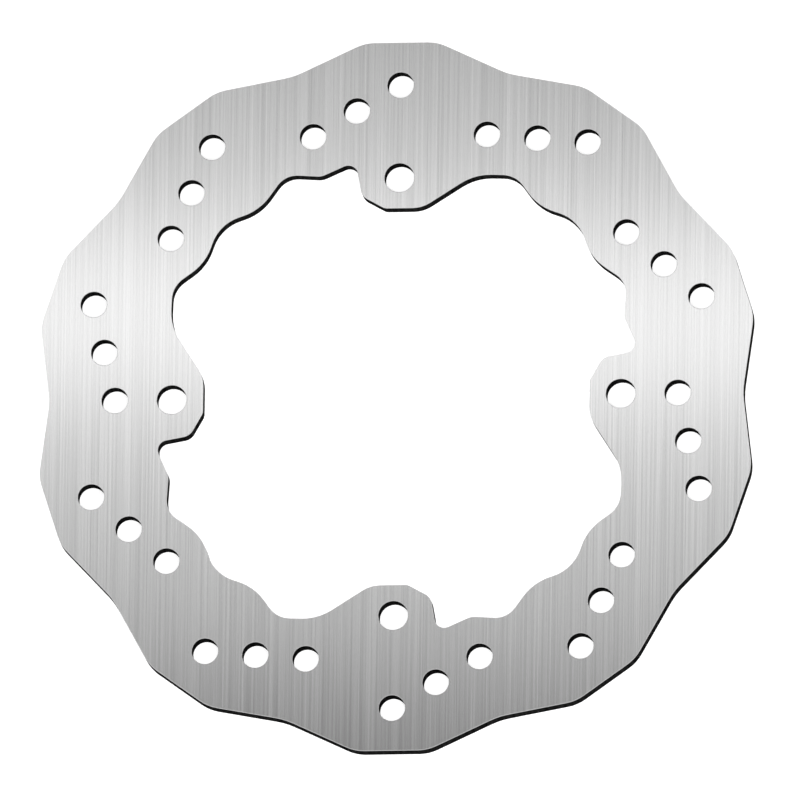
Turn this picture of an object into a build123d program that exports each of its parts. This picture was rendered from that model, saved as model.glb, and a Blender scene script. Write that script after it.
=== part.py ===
from build123d import *
from math import atan2, cos, degrees, hypot, radians, sin
import os

# A one-piece wave brake disc: a flat steel ring that bolts to the wheel hub by four hooked tabs.
# It lies flat with its mounting face on Z = 0 and its spin axis along +Z. One tab points along each of
# +X, +Y, -X and -Y. Angles are in degrees, counterclockwise from +X, and lengths in millimetres.

os.makedirs("parts", exist_ok=True)

disc_t = 5.0

# Outer wave: flat crests and straight flanks, as corners before they are rounded
lobes = 10
disc_d = 220.0  # from one flat crest to the opposite one
crest_half_angle = 5.7
crest_round = 13.0
valley_r = 105.0
valley_round = 22.0

# Cooling holes: a slanted row of three in each lobe pitch
vent_d = 8.0
vent_inner_r = 85.25
vent_outer_r = 96.75
vent_outer_angle = -180 / lobes  # from the row's inner hole

# Bolt holes for M8, one in each tab
tabs = 4
bolt_pcd = 136.0
bolt_hole_d = 9.0

# Opening wave: bumps of steel and hollows, as corners before they are rounded
wave_pitch = 18.0
bump_r = 72.0
bump_round = 16.0
hollow_r = 77.0
hollow_round = 12.5

broken_edge = 0.1  # the small chamfer on every edge of both faces


def at(radius, angle):
    """The point at this radius and angle."""
    return (radius * cos(radians(angle)), radius * sin(radians(angle)))


def from_tab(side, out):
    """Radius and angle of a point out from the centre and to the counterclockwise side of a tab's middle."""
    return (hypot(side, out), degrees(atan2(side, out)))


def around(stretch, repeats):
    """The corner points and roundings of a closed outline, from the stretch of it that repeats."""
    corners = []
    roundings = []
    for repeat in range(repeats):
        for radius, angle, rounding in stretch:
            corners.append(at(radius, repeat * 360 / repeats + angle))
            roundings.append(rounding)
    return corners, roundings


# Both outlines are lists of corners, counterclockwise. Each corner: radius, angle, rounding.
# One lobe of the outer wave, from the valley before it
crest_middle = 180 / lobes
crest_corner_r = disc_d / 2 / cos(radians(crest_half_angle))
lobe = [
    (valley_r, 0, valley_round),
    (crest_corner_r, crest_middle - crest_half_angle, crest_round),
    (crest_corner_r, crest_middle + crest_half_angle, crest_round),
]
# A quarter of the opening, from a tab's middle
quarter = [
    (*from_tab(-7.0, 58.5), 10.0),  # the tab's flat end
    (*from_tab(4.3, 58.5), 3.0),
    (*from_tab(11.3, 62.4), 4.0),  # the hook
    (*from_tab(13.3, 73.3), 3.0),  # the deep notch behind the hook
    (72.6, 19.0, 5.0),
    (77.5, 26.5, 7.0),
    (bump_r, 2 * wave_pitch, bump_round),
    (hollow_r, 2.5 * wave_pitch, hollow_round),
    (bump_r, 3 * wave_pitch, bump_round),
    (76.8, 62.7, 8.0),
    (72.4, 71.6, 16.0),  # the foot of the next tab's long flank
]

# The middle hole of a row lies halfway along it.
row_start = Vector(*at(vent_inner_r, 0))
row_end = Vector(*at(vent_outer_r, vent_outer_angle))
row_middle = (row_start + row_end) / 2
vent_row = [(point.length, degrees(atan2(point.Y, point.X))) for point in (row_start, row_middle, row_end)]

with BuildPart() as brake_disc:
    with BuildSketch():
        for stretch, repeats, mode in ((lobe, lobes, Mode.ADD), (quarter, tabs, Mode.SUBTRACT)):
            corners, roundings = around(stretch, repeats)
            with BuildLine():
                FilletPolyline(*corners, radius=roundings, close=True)
            make_face(mode=mode)
    extrude(amount=disc_t)
    chamfer(edges().filter_by(Plane.XY), broken_edge)
    for radius, angle in vent_row:
        with PolarLocations(radius, lobes, start_angle=angle):
            Hole(vent_d / 2)
    with PolarLocations(bolt_pcd / 2, tabs):
        Hole(bolt_hole_d / 2)
    hole_rims = edges().filter_by(lambda edge: edge.is_closed)
    chamfer(hole_rims, broken_edge)
brake_disc.part.label = "brake_disc"
export_step(brake_disc.part, "parts/brake_disc.step")
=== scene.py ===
import math

import bpy
from mathutils import Matrix, Vector


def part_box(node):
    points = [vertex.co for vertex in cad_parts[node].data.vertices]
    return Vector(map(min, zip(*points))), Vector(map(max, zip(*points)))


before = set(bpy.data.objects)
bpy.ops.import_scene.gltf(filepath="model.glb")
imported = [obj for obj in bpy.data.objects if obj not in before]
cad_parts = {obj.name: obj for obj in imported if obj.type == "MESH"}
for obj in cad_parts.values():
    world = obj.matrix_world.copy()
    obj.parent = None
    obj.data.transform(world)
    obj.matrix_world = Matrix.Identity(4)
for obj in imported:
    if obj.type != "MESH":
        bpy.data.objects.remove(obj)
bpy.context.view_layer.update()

MM = 0.001

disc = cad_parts["brake_disc"]
disc_low, disc_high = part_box("brake_disc")
disc_size = disc_high - disc_low
top_centre = Vector(((disc_low.x + disc_high.x) / 2, (disc_low.y + disc_high.y) / 2, disc_high.z))

scene = bpy.context.scene


# ---------------------------------------------------------------- shader helpers


class Shader:
    """A node material, with one short method for each kind of node that the finishes use."""

    def __init__(self, name):
        self.material = bpy.data.materials.new(name)
        self.material.use_nodes = True
        self.tree = self.material.node_tree
        self.surface = self.tree.nodes["Principled BSDF"]

    def node(self, kind, **settings):
        made = self.tree.nodes.new(kind)
        for name, value in settings.items():
            setattr(made, name, value)
        return made

    def put(self, socket, value):
        """Sets a socket, or links it when the value is another node's output."""
        if isinstance(value, bpy.types.NodeSocket):
            self.tree.links.new(value, socket)
        else:
            socket.default_value = value

    def math(self, operation, *values):
        node = self.node("ShaderNodeMath", operation=operation)
        for socket, value in zip(node.inputs, values):
            self.put(socket, value)
        return node.outputs[0]

    def position(self, scale):
        """The point on the object, in its own metres, stretched by scale along each axis."""
        coordinates = self.node("ShaderNodeTexCoord")
        mapping = self.node("ShaderNodeMapping")
        mapping.inputs["Scale"].default_value = scale
        self.put(mapping.inputs["Vector"], coordinates.outputs["Object"])
        return mapping.outputs[0]

    def noise(self, scale, detail=2.0, rough=0.5):
        node = self.node("ShaderNodeTexNoise")
        node.inputs["Scale"].default_value = 1.0
        node.inputs["Detail"].default_value = detail
        node.inputs["Roughness"].default_value = rough
        self.put(node.inputs["Vector"], self.position(scale))
        return node.outputs["Fac"]

    def remap(self, value, from_low, from_high, to_low, to_high):
        node = self.node("ShaderNodeMapRange")
        for socket, item in zip(node.inputs, (value, from_low, from_high, to_low, to_high)):
            self.put(socket, item)
        return node.outputs[0]

    def swing(self, noise, strength):
        """Noise stretched to run from about -strength to strength."""
        return self.remap(noise, 0.2, 0.8, -strength, strength)

    def vary(self, middle, marks, amount):
        """The middle value, raised and lowered by the marks."""
        return self.math("ADD", middle, self.math("MULTIPLY", marks, amount))

    def mix(self, amount, first, second):
        """Blends two numbers."""
        node = self.node("ShaderNodeMix", data_type="FLOAT")
        self.put(node.inputs["Factor"], amount)
        self.put(node.inputs["A"], first)
        self.put(node.inputs["B"], second)
        return node.outputs["Result"]

    def grey(self, value):
        node = self.node("ShaderNodeCombineColor")
        for socket in node.inputs:
            self.put(socket, value)
        return node.outputs[0]

    def bump(self, height, distance):
        node = self.node("ShaderNodeBump")
        node.inputs["Distance"].default_value = distance
        self.put(node.inputs["Height"], height)
        self.put(self.surface.inputs["Normal"], node.outputs[0])


# ---------------------------------------------------------------- finishes


def steel_finish():
    shader = Shader("brushed_steel")
    # Which way a surface faces tells the ground faces, the chamfers and the cut walls apart.
    normal = shader.node("ShaderNodeSeparateXYZ")
    geometry = shader.node("ShaderNodeNewGeometry")
    shader.put(normal.inputs[0], geometry.outputs["True Normal"])
    flatness = shader.math("ABSOLUTE", normal.outputs["Z"])
    is_face = shader.math("GREATER_THAN", flatness, 0.9)
    is_wall = shader.math("LESS_THAN", flatness, 0.4)

    # Brush marks run along Y: long lines, faint wide ones, and shorter hairlines between them.
    lines = shader.noise((1700.0, 5.0, 100.0), detail=2.0)
    wide_lines = shader.noise((500.0, 2.5, 100.0), detail=1.0)
    hairlines = shader.noise((3000.0, 14.0, 400.0), detail=3.0, rough=0.6)
    marks = shader.math("ADD", shader.swing(lines, 1.0), shader.swing(hairlines, 1.0))
    marks = shader.math("ADD", marks, shader.swing(wide_lines, 0.25))
    # The cut walls are dark, partly from their cut scale and partly as painted shade along the rims, with
    # drag lines across the plate's thickness.
    drag = shader.noise((1500.0, 1500.0, 60.0), detail=3.0)

    # Tones are grey levels from 0, black, to 1, white.
    face_tone = shader.vary(0.62, marks, 0.08)
    # Near black: partly the walls' cut scale, partly painted shade along the rims.
    wall_scale_and_painted_shade = shader.remap(drag, 0.3, 0.7, 0.001, 0.016)
    chamfer_tone = 0.7
    tone = shader.mix(is_face, shader.mix(is_wall, chamfer_tone, wall_scale_and_painted_shade), face_tone)
    shader.put(shader.surface.inputs["Base Color"], shader.grey(tone))

    face_rough = shader.vary(0.24, marks, 0.02)
    wall_rough = 0.6
    shader.put(shader.surface.inputs["Roughness"], shader.mix(is_wall, face_rough, wall_rough))
    # The cut walls carry a dark scale and are kept black besides as painted shade along the rims, so they
    # aren't bare metal. They reflect nothing, even at a glancing angle.
    shader.put(shader.surface.inputs["Metallic"], shader.math("SUBTRACT", 1.0, is_wall))
    shader.surface.inputs["Specular IOR Level"].default_value = 0.0

    # The marks spread the shine along X. The turn is counted from a direction that lies this far from X,
    # and the tangent repeats that direction. The exported model keeps only the turn, and counts it from
    # the direction of its own unwrapping, which lies this far from X.
    turn = math.radians(72)
    shader.surface.inputs["Anisotropic"].default_value = 0.9
    shader.surface.inputs["Anisotropic Rotation"].default_value = turn / math.tau
    unwrapped_way = shader.node("ShaderNodeCombineXYZ")
    shader.put(unwrapped_way.inputs["X"], shader.math("MULTIPLY", normal.outputs["Z"], math.cos(turn)))
    shader.put(unwrapped_way.inputs["Y"], -math.sin(turn))
    shader.put(shader.surface.inputs["Tangent"], unwrapped_way.outputs[0])

    scratch_depth = 0.02 * MM
    shader.bump(shader.mix(is_wall, hairlines, drag), scratch_depth)
    return shader.material


def floor_finish():
    shader = Shader("pale_floor")
    shader.surface.inputs["Base Color"].default_value = (0.9, 0.9, 0.9, 1.0)
    shader.surface.inputs["Roughness"].default_value = 0.9
    shader.surface.inputs["Specular IOR Level"].default_value = 0.1
    # A weak glow of its own keeps the floor white inside the small holes too.
    shader.surface.inputs["Emission Color"].default_value = (1.0, 1.0, 1.0, 1.0)
    shader.surface.inputs["Emission Strength"].default_value = 0.7
    return shader.material


disc.material_slots[0].material = steel_finish()


# ---------------------------------------------------------------- floor, light and camera


def lay_floor():
    half = 12 * disc_size.y
    corners = [(x * half, y * half, disc_low.z) for x, y in ((-1, -1), (1, -1), (1, 1), (-1, 1))]
    mesh = bpy.data.meshes.new("floor")
    mesh.from_pydata(corners, [], [(0, 1, 2, 3)])
    floor = bpy.data.objects.new("floor", mesh)
    floor.data.materials.append(floor_finish())
    scene.collection.objects.link(floor)


def looking(start, target, up):
    """The turn that points -Z from start to target, with up as near +Y as it can be."""
    back = (start - target).normalized()
    side = up.cross(back).normalized()
    return Matrix((side, back.cross(side), back)).transposed()


def softbox(name, place, target, width, depth, watts):
    light = bpy.data.lights.new(name, "AREA")
    light.shape = "RECTANGLE"
    light.size = width
    light.size_y = depth
    light.energy = watts
    lamp = bpy.data.objects.new(name, light)
    lamp.matrix_world = Matrix.Translation(place) @ looking(place, target, Vector((0, 1, 0))).to_4x4()
    lamp.visible_camera = False
    scene.collection.objects.link(lamp)


def surround_with_white():
    """White light from all round, dimmed overhead so that the softboxes stand out in the face."""
    world = bpy.data.worlds.new("studio")
    world.use_nodes = True
    background = world.node_tree.nodes["Background"]
    background.inputs["Color"].default_value = (1.0, 1.0, 1.0, 1.0)
    direction = world.node_tree.nodes.new("ShaderNodeTexCoord")
    upward = world.node_tree.nodes.new("ShaderNodeSeparateXYZ")
    fade = world.node_tree.nodes.new("ShaderNodeMapRange")
    # Heights in the sky run from 0 at the horizon to 1 straight up.
    fade_start = 0.45
    fade_end = 0.9
    dimmed = 0.22
    for socket, value in zip(fade.inputs[1:], (fade_start, fade_end, 1.0, dimmed)):
        socket.default_value = value
    world.node_tree.links.new(direction.outputs["Generated"], upward.inputs[0])
    world.node_tree.links.new(upward.outputs["Z"], fade.inputs[0])
    world.node_tree.links.new(fade.outputs[0], background.inputs["Strength"])
    scene.world = world


def hang_softboxes():
    # The face mirrors whatever stands on the far side of its normal from the camera. There a narrow strip
    # makes the bright row across the face, and a deeper box behind it makes the fade above and below.
    mirror_way = Vector((-camera_way.x, -camera_way.y, camera_way.z)) / camera_way.z
    bright_row = top_centre + Vector((0, 0.027, 0))
    softbox("strip", bright_row + mirror_way * 0.7, bright_row, width=1.4, depth=0.05, watts=0.25)
    softbox("ceiling", bright_row + mirror_way * 0.74, bright_row, width=1.4, depth=0.22, watts=0.54)
    # This one shines from the camera's side, for the walls and the other views.
    softbox("key", top_centre + camera_way * 1.2, top_centre, width=1.0, depth=0.3, watts=5.0)


# The camera looks from a little below and to the right of the face's normal.
tilt_down = math.radians(14.4)
tilt_right = math.radians(6.6)
camera_way = Vector((math.tan(tilt_right), -math.tan(tilt_down), 1.0)).normalized()
camera_distance = 1.5
view_width = 1.1175 * disc_size.x
# How far the middle of the view lies from the disc's centre, along the picture's own sides
view_offset = Vector((0.0053 * disc_size.x, -0.0049 * disc_size.x, 0))


def place_camera():
    data = bpy.data.cameras.new("camera")
    data.type = "ORTHO"
    data.ortho_scale = view_width
    camera = bpy.data.objects.new("camera", data)
    turn = looking(camera_way, Vector(), Vector((0, 1, 0)))
    # Seen at a slant, +X is no longer square to +Y. The camera rolls until both lean by the same amount.
    across = turn.transposed() @ Vector((1, 0, 0))
    turn = turn @ Matrix.Rotation(math.atan2(across.y, across.x) / 2, 3, "Z")
    aim = top_centre + turn @ view_offset
    camera.matrix_world = Matrix.Translation(aim + camera_way * camera_distance) @ turn.to_4x4()
    scene.collection.objects.link(camera)
    scene.camera = camera


lay_floor()
place_camera()
surround_with_white()
hang_softboxes()
scene.view_settings.view_transform = "Standard"
